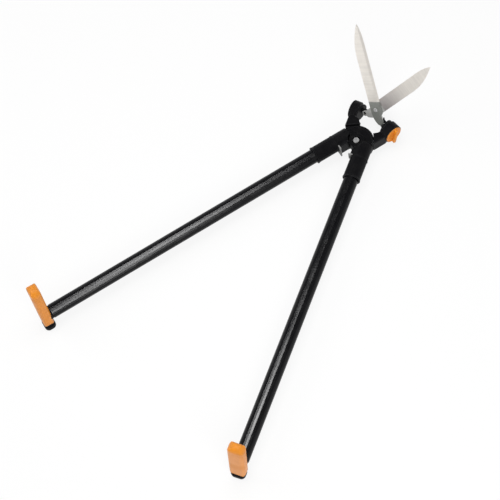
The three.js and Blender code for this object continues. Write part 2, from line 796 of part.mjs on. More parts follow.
function handle(side, name, group) {
  const screwHole = socketScrewHole(side);
  piece(`${name}_tube`, tubeSolid(side).subtract(screwHole), 'tube', group);
  const leverName = side > 0 ? 'lower_lever' : 'upper_lever';
  piece(leverName, lever(side).subtract(screwHole), 'plastic', group);
  piece(`${name}_socket_screw`, socketScrewSolid(side), 'chrome', group);
  piece(`${name}_buffer`, bufferSolid(side), 'rubber', group);
  const grip = new THREE.Group();
  grip.position.set(-side * tubeOffset, -gripDistance, 0);
  group.add(grip);
  piece(`${name}_grip_core`, gripCoreSolid(side), 'plastic', grip);
  piece(`${name}_grip`, gripSkinSolid(side), 'orange', grip);
  piece(`${name}_grip_screw`, gripScrewSolid(side), 'steel', grip);
}

handle(1, 'left', leftHandle);
handle(-1, 'right', rightHandle);

// Main pivot
const headSeat = boltHeadTop - boltHeadHeight;
const washerTop = headSeat - fitGap;
const nutTop = lowerBottom - washerThickness - fitGap * 2;
const boltEnd = nutTop - capNutHex + fitGap * 2;
const hexSocket = body(slab(hexagon(boltSocketAcross), boltHeadTop - boltSocketDepth,
  boltHeadTop + overrun));
const boltBody = turned([
  [0, boltEnd], [boltRadius - socketLip, boltEnd], [boltRadius, boltEnd + socketLip],
  [boltRadius, headSeat], [boltHeadRadius, headSeat],
  [boltHeadRadius, boltHeadTop - edgeBevel], [boltHeadRadius - edgeBevel, boltHeadTop],
  [0, boltHeadTop],
], null, medium);
piece('pivot_bolt', boltBody.subtract(hexSocket), 'chrome', leftHandle);
piece('pivot_head_washer', tubeBetween(boltRadius + fitGap, headWasherRadius,
  washerTop - washerThickness + fitGap, washerTop), 'steel', leftHandle);
piece('pivot_bush', tubeBetween(boltRadius + fitGap, boreRadius - fitGap,
  lowerBottom, washerTop - washerThickness), 'brass', leftHandle);
piece('thrust_washer', tubeBetween(boreRadius, thrustRadius, lowerTop + fitGap,
  upperBottom - fitGap, null, fine), 'slide', leftHandle);
piece('pivot_nut_washer', tubeBetween(boltRadius + fitGap, pivotWasherRadius,
  lowerBottom - fitGap - washerThickness, lowerBottom - fitGap), 'steel', leftHandle);
const capNutHexPart = body(slab(hexagon(capNutAcross), nutTop - capNutHex, nutTop));
const capNutDome = turned([
  [0, -lieHeight], [capNutFlat, -lieHeight], [capNutAcross / 2, nutTop - capNutHex - edgeBevel],
  [capNutAcross / 2, nutTop - capNutHex + edgeBevel], [0, nutTop - capNutHex + edgeBevel],
], null, medium);
const nutBore = rod(boltRadius + fitGap, boltEnd - fitGap, nutTop + overrun);
piece('pivot_cap_nut', joined(capNutHexPart, capNutDome).subtract(nutBore), 'chrome', leftHandle);

// Right barrel, on the lower lever: seat ring, lock plug and knob
const rightBarrel = barrelFrame(1);
const rightSeat = seatRingSolid(rightBarrel);
piece('lock_pad', rightSeat.solid, 'slide', leftHandle);
const plugStart = rightSeat.backFace + fitGap;
const plugEnd = plugStart + plugThickness;
piece('lock_plug', rod(ballSeat - fitGap, plugStart, plugEnd, rightBarrel), 'steel', leftHandle);
const dishRadius = knobRadius - knobWall;
const knobDisc = turned([
  [0, plugEnd + fitGap], [ballSeat, plugEnd + fitGap], [ballSeat, knobFloor + fitGap],
  [knobRadius, knobFloor + fitGap], [knobRadius, knobRim - edgeBevel / 2],
  [knobRadius - edgeBevel / 2, knobRim], [dishRadius, knobRim],
  [dishRadius - edgeBevel, knobRim - knobDish], [0, knobRim - knobDish],
], rightBarrel);
const barGeometry = slab(roundedBox(barLength / 2, -barWidth / 2, barWidth / 2, barWidth / 2),
  knobRim - knobDish - fitGap, knobRim + barRise, edgeBevel, cornerFacets);
barGeometry.rotateZ(-rad(barTurn));
barGeometry.applyMatrix4(rightBarrel);
piece('tilt_knob', knobDisc.add(body(barGeometry)), 'orange', leftHandle);

// Left barrel, on the upper lever: seat ring and end cap
const leftBarrel = barrelFrame(-1);
const leftSeat = seatRingSolid(leftBarrel);
piece('left_seat_ring', leftSeat.solid, 'slide', rightHandle);
const capFront = leftSeat.backFace + fitGap;
piece('left_barrel_cap', turned([
  [seatInner, capFront], [ballSeat - fitGap, capFront], [ballSeat - fitGap, leftBarrelEnd + fitGap],
  [barrelRadius, leftBarrelEnd + fitGap], [barrelRadius, capEnd - capEdge],
  [barrelRadius - capEdge, capEnd], [0, capEnd], [0, leftBarrelEnd],
  [seatInner, leftBarrelEnd], [seatInner, capFront],
], leftBarrel), 'plastic', rightHandle);

// Rings and spindles, one set on each side
for (const side of [1, -1]) {
  const name = side > 0 ? 'right' : 'left';
  const set = new THREE.Group();
  set.position.set(side * ballSide, ballAhead, 0);
  shears.add(set);
  const ring = piece(`${name}_swivel_ring`, swivelRingSolid(), 'brass', set);
  ring.rotation.y = Math.PI / 2;
  piece(`${name}_spindle`, spindleSolid(side), 'plastic', set);
  piece(`${name}_spindle_clip`, clipSolid(side), 'steel', set);
  const pin = piece(side > 0 ? 'front_tail_pin' : 'rear_tail_pin', tailPinSolid(side), 'chrome', set);
  pin.position.x = -side * pinReach;
  pin.position.y = pinRise * Math.cos(tiltTurn);
  pin.position.z = pinRise * Math.sin(tiltTurn);
  pin.rotation.x = tiltTurn;
}

// Blades, in the tilted plane
const bladePlane = new THREE.Group();
bladeFrame.decompose(bladePlane.position, bladePlane.quaternion, bladePlane.scale);
const cuttingPivot = new THREE.Group();
cuttingPivot.position.y = pinRise + tailReach;
bladePlane.add(cuttingPivot);
shears.add(bladePlane);
const frontBlade = new THREE.Group();
frontBlade.rotation.z = rad(bladeAngle);
const rearBlade = new THREE.Group();
rearBlade.rotation.z = -rad(bladeAngle);
cuttingPivot.add(frontBlade, rearBlade);
piece('front_blade', bladeSolid(1, fitGap), 'steel', frontBlade);
piece('rear_blade', bladeSolid(-1, openPinClearance), 'steel', rearBlade);

const bladeTop = bladeGap / 2 + bladeThickness;
const screwSeat = bladeTop + fitGap;
const screwBottom = -bladeTop - fitGap * 2 - washerThickness - lockNutHeight;
const slot = body(slab(polygon([
  [-screwHeadRadius * 2, -screwHeadHeight / 4], [screwHeadRadius * 2, -screwHeadHeight / 4],
  [screwHeadRadius * 2, screwHeadHeight / 4], [-screwHeadRadius * 2, screwHeadHeight / 4],
]), screwSeat + screwHeadHeight / 2, screwSeat + screwHeadHeight + overrun));
const bladeScrew = turned([
  [0, screwBottom], [screwRadius, screwBottom], [screwRadius, screwSeat],
  [screwHeadRadius, screwSeat], [screwHeadRadius, screwSeat + screwHeadHeight / 2],
  [screwHeadRadius - edgeBevel, screwSeat + screwHeadHeight], [0, screwSeat + screwHeadHeight],
], null, medium);
piece('blade_screw', bladeScrew.subtract(slot), 'chrome', rearBlade);
const springTop = -bladeTop - fitGap;
piece('blade_spring_washer', tubeBetween(screwRadius + fitGap, screwHeadRadius + socketLip,
  springTop - washerThickness + fitGap, springTop), 'steel', rearBlade);
const lockNut = body(slab(hexagon(lockNutAcross), screwBottom + edgeBevel,
  springTop - washerThickness));
piece('blade_lock_nut', lockNut.subtract(rod(screwRadius + fitGap, screwBottom - overrun,
  springTop + overrun, null, coarse)), 'chrome', rearBlade);

export default shears;
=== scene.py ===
# %% [markdown]
# # Long-handled grass shears
# Two black levers cross at a bolt. Behind the bolt each one holds a tube with an upright orange
# grip, and in front of it each one ends in a round barrel that carries a blade. The frame brings
# every piece at its real size and place. This script gives each piece its surface, makes finer
# meshes where the frame's flat facets would show, and adds one small piece where a slit would.

# %% Load the frame
import json
import math

import bmesh
import bpy
from mathutils import Matrix, Vector


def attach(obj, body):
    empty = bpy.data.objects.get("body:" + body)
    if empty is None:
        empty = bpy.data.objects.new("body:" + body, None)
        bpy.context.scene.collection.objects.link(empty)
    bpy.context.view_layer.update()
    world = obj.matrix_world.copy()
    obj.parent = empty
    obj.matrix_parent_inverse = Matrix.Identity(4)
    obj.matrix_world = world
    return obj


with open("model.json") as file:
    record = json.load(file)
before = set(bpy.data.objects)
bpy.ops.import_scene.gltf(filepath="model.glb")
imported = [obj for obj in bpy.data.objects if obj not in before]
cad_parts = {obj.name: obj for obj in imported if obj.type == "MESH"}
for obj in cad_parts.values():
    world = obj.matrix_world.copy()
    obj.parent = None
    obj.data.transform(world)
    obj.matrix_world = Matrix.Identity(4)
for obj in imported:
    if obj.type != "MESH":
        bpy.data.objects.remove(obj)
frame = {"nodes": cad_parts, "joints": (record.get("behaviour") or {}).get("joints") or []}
nodes = frame["nodes"]
joints = {joint["name"]: joint for joint in frame["joints"]}
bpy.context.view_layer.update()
scene = bpy.context.scene

# %% [markdown]
# The camera looks down at the shears from the front right, with a long lens. Its place and its
# axes were worked out from the photograph's perspective: two long tubes and two upright grips fix
# them well. Writing the camera as two axes and a place is clearer than three angles when the
# camera is also rolled a little.

# %% Camera
CAMERA_PLACE = Vector((1.05426, -1.07523, 2.52402))
CAMERA_RIGHT = Vector((0.75745, 0.63883, -0.13478))
CAMERA_UP = Vector((-0.52992, 0.72214, 0.44464))
LENS_MM = 98.92
SENSOR_MM = 36.0
CLIP_END = 60

right = CAMERA_RIGHT.normalized()
back = right.cross(CAMERA_UP).normalized()
up = back.cross(right)
camera = bpy.data.objects.new("photo_camera", bpy.data.cameras.new("photo_camera"))
turned = Matrix((right, up, back)).transposed().to_4x4()
camera.matrix_world = Matrix.Translation(CAMERA_PLACE) @ turned
camera.data.lens = LENS_MM
camera.data.sensor_width = SENSOR_MM
camera.data.clip_end = CLIP_END
scene.collection.objects.link(camera)
scene.camera = camera
scene.view_settings.view_transform = "Standard"
print("camera", round(CAMERA_PLACE.length, 2), "m from the pivot")

# %% [markdown]
# Every material below is a small network of nodes. Made one by one, each node takes three or four
# lines, so a first helper adds a node with its settings and values, and three more use it for
# what comes back often: a sum, a mix of two colours, and a smooth change from one value to another.

# %% Helpers for nodes
def add(tree, kind, settings=None, **values):
    """A node of that kind. settings are its properties, values fill its inputs by name."""
    node = tree.nodes.new(kind)
    for key, value in (settings or {}).items():
        setattr(node, key, value)
    for key, value in values.items():
        socket = node.inputs[int(key[1:])] if key[0] == "i" and key[1:].isdigit() else node.inputs[key]
        if isinstance(value, bpy.types.NodeSocket):
            tree.links.new(value, socket)
        else:
            socket.default_value = value
    return node


def math_node(tree, operation, first, second=0.5, clamp=False):
    node = add(tree, "ShaderNodeMath", {"operation": operation, "use_clamp": clamp}, i0=first, i1=second)
    return node.outputs[0]


def mix_colour(tree, share, first, second):
    """First colour where share is 0, second where it is 1."""
    node = add(tree, "ShaderNodeMix", {"data_type": "RGBA"}, i0=share, i6=first, i7=second)
    return node.outputs[2]


def ramp_value(tree, value, low, high, to_low=0.0, to_high=1.0):
    node = add(tree, "ShaderNodeMapRange", {"interpolation_type": "SMOOTHSTEP"}, i0=value)
    for index, number in zip((1, 2, 3, 4), (low, high, to_low, to_high)):
        node.inputs[index].default_value = number
    return node.outputs[0]


print("node helpers:", [helper.__name__ for helper in (add, math_node, mix_colour, ramp_value)])

# %% [markdown]
# An effect that several materials share is made once, as a node group with named inputs and
# outputs. These helpers open such a group, place it in a material with that material's own values,
# and start a material whose plain values are set on its Principled BSDF.

# %% Helpers for groups and materials
def new_group(name, inputs, outputs):
    """An empty node group. inputs are {name: default}, outputs are names; all are numbers."""
    group = bpy.data.node_groups.new(name, "ShaderNodeTree")
    for label, default in inputs.items():
        socket = group.interface.new_socket(label, in_out="INPUT", socket_type="NodeSocketFloat")
        socket.default_value = default
    for label in outputs:
        group.interface.new_socket(label, in_out="OUTPUT", socket_type="NodeSocketFloat")
    entry = group.nodes.new("NodeGroupInput").outputs
    leave = group.nodes.new("NodeGroupOutput").inputs
    return group, entry, leave


def use_group(tree, group, **values):
    node = tree.nodes.new("ShaderNodeGroup")
    node.node_tree = group
    for label, value in values.items():
        node.inputs[label].default_value = value
    return node.outputs


def new_material(name, **values):
    """A material with a Principled BSDF, whose plain values are set on its own sockets."""
    material = bpy.data.materials.new(name)
    material.use_nodes = True
    shader = material.node_tree.nodes["Principled BSDF"]
    for label, value in values.items():
        shader.inputs[label.replace("_", " ")].default_value = value
    return material, material.node_tree, shader


print("group and material helpers:", [helper.__name__ for helper in (new_group, use_group, new_material)])

# %% [markdown]
# ## Shared surface effects
# Moulded plastic, enamel and steel all show a fine grain, soft cloudy differences and paler
# edges. Each effect is one node group, so a material only places it with its own size and
# strength. The grain comes from noise in object coordinates: the frame's pieces all have their
# origin at the pivot, so the texture keeps its real size on every piece and moves with it.

# %% Group: grain and clouds
MASK_LOW, MASK_HIGH = 0.3, 0.7    # the noise values between which a soft mask runs from 0 to 1


def make_grain():
    group, entry, leave = new_group(
        "grain_and_clouds", {"Grain size": 0.0006, "Cloud size": 0.03}, ["Grain", "Clouds"])
    place = add(group, "ShaderNodeTexCoord").outputs["Object"]
    fine = math_node(group, "DIVIDE", 1.0, entry["Grain size"])
    wide = math_node(group, "DIVIDE", 1.0, entry["Cloud size"])
    grain = add(group, "ShaderNodeTexNoise", Vector=place, Scale=fine, Detail=2.0, Roughness=0.6)
    clouds = add(group, "ShaderNodeTexNoise", Vector=place, Scale=wide, Detail=5.0, Roughness=0.55)
    group.links.new(grain.outputs[0], leave["Grain"])
    group.links.new(ramp_value(group, clouds.outputs[0], MASK_LOW, MASK_HIGH), leave["Clouds"])
    return group


GRAIN = make_grain()
print("group:", GRAIN.name)

# %% [markdown]
# Edges are paler, partly from wear where hands and the ground rub and partly as a painted
# highlight, the light that a rounded edge catches. The Bevel node gives the normal that a rounded
# edge would have. Where it differs from the real normal there is an edge, however the mesh is
# cut up, so no edge has to be marked by hand.

# %% Group: paler edges
def make_edges():
    group, entry, leave = new_group("paler_edges", {"Width": 0.0012, "Reach": 0.25}, ["Edge"])
    rounded = add(group, "ShaderNodeBevel", {"samples": 4}, Radius=entry["Width"]).outputs[0]
    plain = add(group, "ShaderNodeNewGeometry").outputs["Normal"]
    alike = add(group, "ShaderNodeVectorMath", {"operation": "DOT_PRODUCT"}, i0=rounded, i1=plain)
    differ = math_node(group, "SUBTRACT", 1.0, alike.outputs["Value"])
    share = math_node(group, "DIVIDE", differ, entry["Reach"], clamp=True)
    group.links.new(share, leave["Edge"])
    return group


EDGES = make_edges()
print("group:", EDGES.name)

# %% [markdown]
# Dust settles where a surface faces up, and in patches. The upright part of the normal gives the
# first mask and cloudy noise the second, and where both are high there is dust.

# %% Group: dust on upper faces
UPRIGHT_FROM = 0.2
PATCH_LOW, PATCH_HIGH = 0.4, 0.75


def make_dust():
    group, entry, leave = new_group("dust_on_top", {"Amount": 0.2, "Patch size": 0.02}, ["Dust"])
    normal = add(group, "ShaderNodeNewGeometry").outputs["Normal"]
    upright = add(group, "ShaderNodeSeparateXYZ", Vector=normal).outputs["Z"]
    place = add(group, "ShaderNodeTexCoord").outputs["Object"]
    scale = math_node(group, "DIVIDE", 1.0, entry["Patch size"])
    patches = add(group, "ShaderNodeTexNoise", Vector=place, Scale=scale, Detail=8.0, Roughness=0.7)
    share = math_node(group, "MULTIPLY", ramp_value(group, upright, UPRIGHT_FROM, 1.0),
                      ramp_value(group, patches.outputs[0], PATCH_LOW, PATCH_HIGH))
    group.links.new(math_node(group, "MULTIPLY", share, entry["Amount"]), leave["Dust"])
    return group


DUST = make_dust()
print("group:", DUST.name)

# %% [markdown]
# Grinding leaves fine lines. Noise that is drawn out along one direction looks the same. The
# group takes the direction as three numbers, so that each blade can have its own.

# %% Group: brushed lines
DRAWN_SHARE = 0.985     # how much of the place along the lines is taken away, so they run long
STREAK_SHARE = 0.12     # the scale of the wide streaks as a share of the fine lines' scale


def make_brushed():
    group, entry, leave = new_group(
        "brushed_lines", {"Line width": 0.0004, "Along X": 1.0, "Along Y": 0.0, "Along Z": 0.0},
        ["Lines", "Streaks"])
    place = add(group, "ShaderNodeTexCoord").outputs["Object"]
    along = add(group, "ShaderNodeCombineXYZ", X=entry["Along X"], Y=entry["Along Y"],
                Z=entry["Along Z"]).outputs[0]
    distance = add(group, "ShaderNodeVectorMath", {"operation": "DOT_PRODUCT"}, i0=place, i1=along)
    drawn = add(group, "ShaderNodeVectorMath", {"operation": "SCALE"}, i0=along,
                Scale=math_node(group, "MULTIPLY", distance.outputs["Value"], DRAWN_SHARE))
    squeezed = add(group, "ShaderNodeVectorMath", {"operation": "SUBTRACT"}, i0=place,
                   i1=drawn.outputs[0]).outputs[0]
    fine = math_node(group, "DIVIDE", 1.0, entry["Line width"])
    lines = add(group, "ShaderNodeTexNoise", Vector=squeezed, Scale=fine, Detail=3.0)
    wide = math_node(group, "MULTIPLY", fine, STREAK_SHARE)
    streaks = add(group, "ShaderNodeTexNoise", Vector=squeezed, Scale=wide, Detail=4.0)
    group.links.new(lines.outputs[0], leave["Lines"])
    group.links.new(ramp_value(group, streaks.outputs[0], MASK_LOW, MASK_HIGH), leave["Streaks"])
    return group


BRUSHED = make_brushed()
print("group:", BRUSHED.name)

# %% [markdown]
# ## Plastics, enamel and rubber
# The levers and the grips' cores are black nylon with a satin skin: dark grey where the light
# falls flat, paler along edges, partly from wear where handling polishes them and partly as a
# painted highlight where light catches the rounded edge. The tubes are gloss enamel with
# a faint ripple. One recipe serves them all, because they differ only in colour, grain and gloss.

# %% Recipe for coated and moulded surfaces
DEEPER_SHARE = 0.72
DUST_COLOUR = (0.35, 0.33, 0.30, 1.0)
DUST_ROUGHENS = 0.3
GLOSS_SHARES = (0.88, 1.15)
CLOUD_SIZE = 0.03
GRAIN_STRENGTH = 0.6


def coated(name, colour, edge_colour, roughness, grain_size, grain_depth, edge=0.35, dust=0.1,
           cloud=0.25, edge_width=0.0012, **values):
    material, tree, shader = new_material(name, **values)
    grain = use_group(tree, GRAIN, **{"Grain size": grain_size, "Cloud size": CLOUD_SIZE})
    edges = use_group(tree, EDGES, Width=edge_width)
    dusty = use_group(tree, DUST, Amount=dust)
    # Paler edges: partly wear, partly a painted highlight along rounded edges.
    worn_and_lit_edges = math_node(tree, "MULTIPLY", edges["Edge"], edge)
    clouded = math_node(tree, "MULTIPLY", grain["Clouds"], cloud)
    deeper = [c * DEEPER_SHARE for c in colour[:3]] + [1.0]
    base = mix_colour(tree, clouded, colour, deeper)
    base = mix_colour(tree, worn_and_lit_edges, base, edge_colour)
    base = mix_colour(tree, dusty["Dust"], base, DUST_COLOUR)
    tree.links.new(base, shader.inputs["Base Color"])
    low, high = (roughness * share for share in GLOSS_SHARES)
    shiny = ramp_value(tree, grain["Clouds"], 0.0, 1.0, low, high)
    dulled = math_node(tree, "MULTIPLY", dusty["Dust"], DUST_ROUGHENS)
    matt = math_node(tree, "ADD", shiny, dulled, clamp=True)
    tree.links.new(matt, shader.inputs["Roughness"])
    bump = add(tree, "ShaderNodeBump", Height=grain["Grain"], Distance=grain_depth,
               Strength=GRAIN_STRENGTH)
    tree.links.new(bump.outputs[0], shader.inputs["Normal"])
    return material


# Each edge colour below is partly wear and partly a painted highlight on rounded edges.
BLACK_PLASTIC = coated("black_plastic", (0.005, 0.005, 0.006, 1), (0.24, 0.24, 0.25, 1),
                       roughness=0.46, grain_size=0.0009, grain_depth=0.00008, dust=0.015,
                       edge=0.7, edge_width=0.0011, Specular_IOR_Level=0.09)
TUBE_ENAMEL = coated("tube_enamel", (0.003, 0.003, 0.004, 1), (0.02, 0.02, 0.02, 1),
                     roughness=0.25, grain_size=0.02, grain_depth=0.0000006, dust=0.005, cloud=0.3,
                     Specular_IOR_Level=0.16)
ORANGE_PLASTIC = coated("orange_plastic", (0.82, 0.28, 0.018, 1), (0.92, 0.58, 0.25, 1),
                        roughness=0.40, grain_size=0.0008, grain_depth=0.00007, dust=0.04,
                        edge=0.6, cloud=0.3)
SLIDE_PLASTIC = coated("slide_plastic", (0.62, 0.58, 0.50, 1), (0.7, 0.67, 0.6, 1),
                       roughness=0.5, grain_size=0.0008, grain_depth=0.00004)
GREY_RUBBER = coated("grey_rubber", (0.27, 0.27, 0.265, 1), (0.45, 0.45, 0.44, 1),
                     roughness=0.8, grain_size=0.0007, grain_depth=0.0001, dust=0.2)
COATED = (BLACK_PLASTIC, TUBE_ENAMEL, ORANGE_PLASTIC, SLIDE_PLASTIC, GREY_RUBBER)
print("coated materials:", [material.name for material in COATED])

# %% [markdown]
# ## Metals
# The blades are ground spring steel: bright and warm on the ground part, greyer on the tang
# where the grinding stops. The bolts are plated and bright. Both need fine lines in roughness
# and bump more than they need colour.

# %% Recipe for metals
METAL_DEEPER_SHARE = 0.8
METAL_CLOUD_SHARE = 0.25
# The pale edge colour is partly wear and partly a painted glint on edges.
METAL_EDGE_SHARE = 0.4
METAL_EDGE_COLOUR = (0.85, 0.85, 0.85, 1)
METAL_EDGE_WIDTH = 0.0006
METAL_GRAIN, METAL_CLOUD = 0.0005, 0.012
TURNED_LINES = {"Line width": 0.0004, "Along X": 0.0, "Along Y": 0.0, "Along Z": 1.0}
METAL_STREAKS = 0.3
LINE_LOW, LINE_HIGH = 0.25, 0.75
LINE_GLOSS_SHARES = (0.8, 1.25)
LINE_DEPTH, LINE_STRENGTH = 0.00002, 0.5


def metal(name, colour, roughness, metallic=1.0):
    material, tree, shader = new_material(name, Metallic=metallic)
    brushed = use_group(tree, BRUSHED, **TURNED_LINES)
    edges = use_group(tree, EDGES, Width=METAL_EDGE_WIDTH)
    grain = use_group(tree, GRAIN, **{"Grain size": METAL_GRAIN, "Cloud size": METAL_CLOUD})
    deeper = [c * METAL_DEEPER_SHARE for c in colour[:3]] + [1.0]
    streaked = math_node(tree, "MULTIPLY", brushed["Streaks"], METAL_STREAKS)
    clouded = math_node(tree, "MULTIPLY", grain["Clouds"], METAL_CLOUD_SHARE)
    # Paler edges: partly wear, partly a painted glint along edges.
    worn_and_lit_edges = math_node(tree, "MULTIPLY", edges["Edge"], METAL_EDGE_SHARE)
    base = mix_colour(tree, streaked, colour, deeper)
    base = mix_colour(tree, clouded, base, deeper)
    base = mix_colour(tree, worn_and_lit_edges, base, METAL_EDGE_COLOUR)
    tree.links.new(base, shader.inputs["Base Color"])
    low, high = (roughness * share for share in LINE_GLOSS_SHARES)
    rough = ramp_value(tree, brushed["Lines"], LINE_LOW, LINE_HIGH, low, high)
    tree.links.new(rough, shader.inputs["Roughness"])
    bump = add(tree, "ShaderNodeBump", Height=brushed["Lines"], Distance=LINE_DEPTH,
               Strength=LINE_STRENGTH)
    tree.links.new(bump.outputs[0], shader.inputs["Normal"])
    return material


BRIGHT_STEEL = metal("bright_steel", (0.80, 0.80, 0.80, 1), 0.16)
ZINC_PLATE = metal("zinc_plate", (0.66, 0.66, 0.66, 1), 0.3, metallic=0.55)
PLAIN_STEEL = metal("plain_steel", (0.52, 0.52, 0.52, 1), 0.34)
BRASS = metal("brass", (0.62, 0.47, 0.22, 1), 0.3)
METALS = (BRIGHT_STEEL, ZINC_PLATE, PLAIN_STEEL, BRASS)
print("metals:", [material.name for material in METALS])

# %% [markdown]
# On each blade only the part beyond the pivot is ground bright. The distance from the pivot,
# measured along the blade, is the mask for that, and the grinding lines run across the blade. The
# tang is duller and less metallic. Beyond that, the front tang is painted darker, which is painted
# shade, and the rear tang paler, which is painted light. The rear blade is painted darker near the
# pivot, painted shade that fades as it warms and brightens towards its tip.

# %% Steel of one blade
BLADE_PIVOT = Vector(joints["blade_pivot"]["pos_m"])
BLADE_NORMAL = Vector(joints["blade_pivot"]["axis"])
BLADE_ANGLE = math.radians(31.0)    # between each blade and the middle line, as the shears lie open
BLADE_UP = Vector((1, 0, 0)).cross(BLADE_NORMAL) * -1
GROUND_FROM = 0.0175
GROUND_BORDER = 0.0015
BRIGHT_AT = 0.12
TANG_METAL = 0.35
# Tang colours: the front one is darker, painted shade, and the rear one paler, painted light.
FRONT_TANG_SHADED = (0.27, 0.28, 0.26, 1)
REAR_TANG_LIT = (0.60, 0.60, 0.58, 1)
# Painted shade: the rear blade is darker near the pivot and brightens towards its tip.
REAR_MIDDLE_SHADED = (0.62, 0.58, 0.57, 1)
GROUND_BRIGHT = (0.93, 0.89, 0.83, 1)
STREAK_DARK = (0.2, 0.2, 0.2, 1)
CLOUD_DARK = (0.25, 0.24, 0.22, 1)
# The blade edge colour is partly wear and partly a painted highlight along the edges.
BLADE_EDGE = (0.9, 0.88, 0.85, 1)
DARK_SHARE = 0.25
STREAKS, CLOUDS, BRIGHT_EDGES = 0.3, 0.35, 0.5
BLADE_LINE, BLADE_GRAIN, BLADE_CLOUD, BLADE_EDGE_WIDTH = 0.0005, 0.001, 0.03, 0.0008
BLADE_LINE_LOW, BLADE_LINE_HIGH = 0.2, 0.8
BLADE_GLOSS = (0.30, 0.46)
BLADE_LINE_DEPTH, BLADE_LINE_STRENGTH = 0.00003, 0.6


def blade_axis(side):
    """The direction of a blade. side is 1 for the front blade, whose tip points to -X."""
    return Matrix.Rotation(side * BLADE_ANGLE, 3, BLADE_NORMAL) @ BLADE_UP


def blade_steel(name, side):
    along = blade_axis(side)
    across = BLADE_NORMAL.cross(along)
    material, tree, shader = new_material(name)
    place = add(tree, "ShaderNodeTexCoord").outputs["Object"]
    shifted = add(tree, "ShaderNodeVectorMath", {"operation": "SUBTRACT"}, i0=place,
                  i1=tuple(BLADE_PIVOT)).outputs[0]
    reach = add(tree, "ShaderNodeVectorMath", {"operation": "DOT_PRODUCT"}, i0=shifted,
                i1=tuple(along)).outputs["Value"]
    ground = ramp_value(tree, reach, GROUND_FROM, GROUND_FROM + GROUND_BORDER)
    brushed = use_group(tree, BRUSHED, **{
        "Line width": BLADE_LINE, "Along X": across[0], "Along Y": across[1], "Along Z": across[2]})
    grain = use_group(tree, GRAIN, **{"Grain size": BLADE_GRAIN, "Cloud size": BLADE_CLOUD})
    edges = use_group(tree, EDGES, Width=BLADE_EDGE_WIDTH)
    # The front tang's dark colour is painted shade and the rear tang's pale colour is painted light.
    if side > 0:
        base = mix_colour(tree, ground, FRONT_TANG_SHADED, GROUND_BRIGHT)
    else:
        # Painted shade on the rear blade, darkest near the pivot and fading towards the tip.
        towards_tip = ramp_value(tree, reach, 0.0, BRIGHT_AT)
        warm = mix_colour(tree, towards_tip, REAR_MIDDLE_SHADED, GROUND_BRIGHT)
        base = mix_colour(tree, ground, REAR_TANG_LIT, warm)
    for mask, share, dark in ((brushed["Streaks"], STREAKS, STREAK_DARK),
                              (grain["Clouds"], CLOUDS, CLOUD_DARK)):
        darker = mix_colour(tree, DARK_SHARE, base, dark)
        base = mix_colour(tree, math_node(tree, "MULTIPLY", mask, share), base, darker)
    # Paler edges: partly wear, partly a painted highlight along the blade's edges.
    worn_and_lit_edges = math_node(tree, "MULTIPLY", edges["Edge"], BRIGHT_EDGES)
    base = mix_colour(tree, worn_and_lit_edges, base, BLADE_EDGE)
    tree.links.new(base, shader.inputs["Base Color"])
    rough = ramp_value(tree, brushed["Lines"], BLADE_LINE_LOW, BLADE_LINE_HIGH, *BLADE_GLOSS)
    tree.links.new(rough, shader.inputs["Roughness"])
    more_metal = math_node(tree, "MULTIPLY", ground, 1 - TANG_METAL)
    tree.links.new(math_node(tree, "ADD", more_metal, TANG_METAL), shader.inputs["Metallic"])
    bump = add(tree, "ShaderNodeBump", Height=brushed["Lines"], Distance=BLADE_LINE_DEPTH,
               Strength=BLADE_LINE_STRENGTH)
    tree.links.new(bump.outputs[0], shader.inputs["Normal"])
    return material


FRONT_STEEL = blade_steel("front_blade_steel", 1)
REAR_STEEL = blade_steel("rear_blade_steel", -1)
for side in (1, -1):
    print("blade direction:", [round(value, 3) for value in blade_axis(side)])

# %% [markdown]
# ## Softening the frame's pieces
# A moulded piece has no razor edges. Two modifiers give a faceted solid the small radii that
# a mould leaves: a fine voxel remesh, then a few smoothing passes. They act on the frame's
# own pieces without moving them. Small turned pieces get a plain bevel, which is lighter.

# %% Two ways to soften a piece
SMOOTH_FACTOR = 0.5
BEVEL_FROM = math.radians(30)
BEVEL_SEGMENTS = 2


def paint(name, material):
    mesh = nodes[name].data
    mesh.materials.clear()
    mesh.materials.append(material)


def soften(name, material, voxel, passes):
    paint(name, material)
    remesh = nodes[name].modifiers.new("mould_radii", "REMESH")
    remesh.mode = "VOXEL"
    remesh.voxel_size = voxel
    remesh.use_smooth_shade = True
    smooth = nodes[name].modifiers.new("even_out", "SMOOTH")
    smooth.factor = SMOOTH_FACTOR
    smooth.iterations = passes


def bevelled(name, material, width):
    paint(name, material)
    bevel = nodes[name].modifiers.new("broken_edges", "BEVEL")
    bevel.limit_method = "ANGLE"
    bevel.angle_limit = BEVEL_FROM
    bevel.width = width
    bevel.segments = BEVEL_SEGMENTS
    bevel.harden_normals = False
    nodes[name].data.shade_smooth()
    nodes[name].modifiers.new("even_normals", "WEIGHTED_NORMAL")


print("smoothing factor:", SMOOTH_FACTOR)

# %% [markdown]
# The black mouldings, the knob and the grips are softened, and the grips most, because a hand
# closes round them. A voxel has to be finer than the thinnest rib, and the knob's grooves need
# the finest.

# %% Dress the moulded pieces
VOXEL = 0.0007
KNOB_VOXEL = 0.0005
LEVER_PASSES, SMALL_PASSES, GRIP_PASSES = 6, 5, 14
SMALL_MOULDINGS = ("left_grip_core", "right_grip_core", "left_spindle", "right_spindle",
                   "left_barrel_cap")

for name in ("lower_lever", "upper_lever"):
    soften(name, BLACK_PLASTIC, VOXEL, LEVER_PASSES)
for name in SMALL_MOULDINGS:
    soften(name, BLACK_PLASTIC, VOXEL, SMALL_PASSES)
soften("tilt_knob", ORANGE_PLASTIC, KNOB_VOXEL, SMALL_PASSES)
for name in ("left_grip", "right_grip"):
    soften(name, ORANGE_PLASTIC, VOXEL, GRIP_PASSES)
print("voxel:", VOXEL, "m")

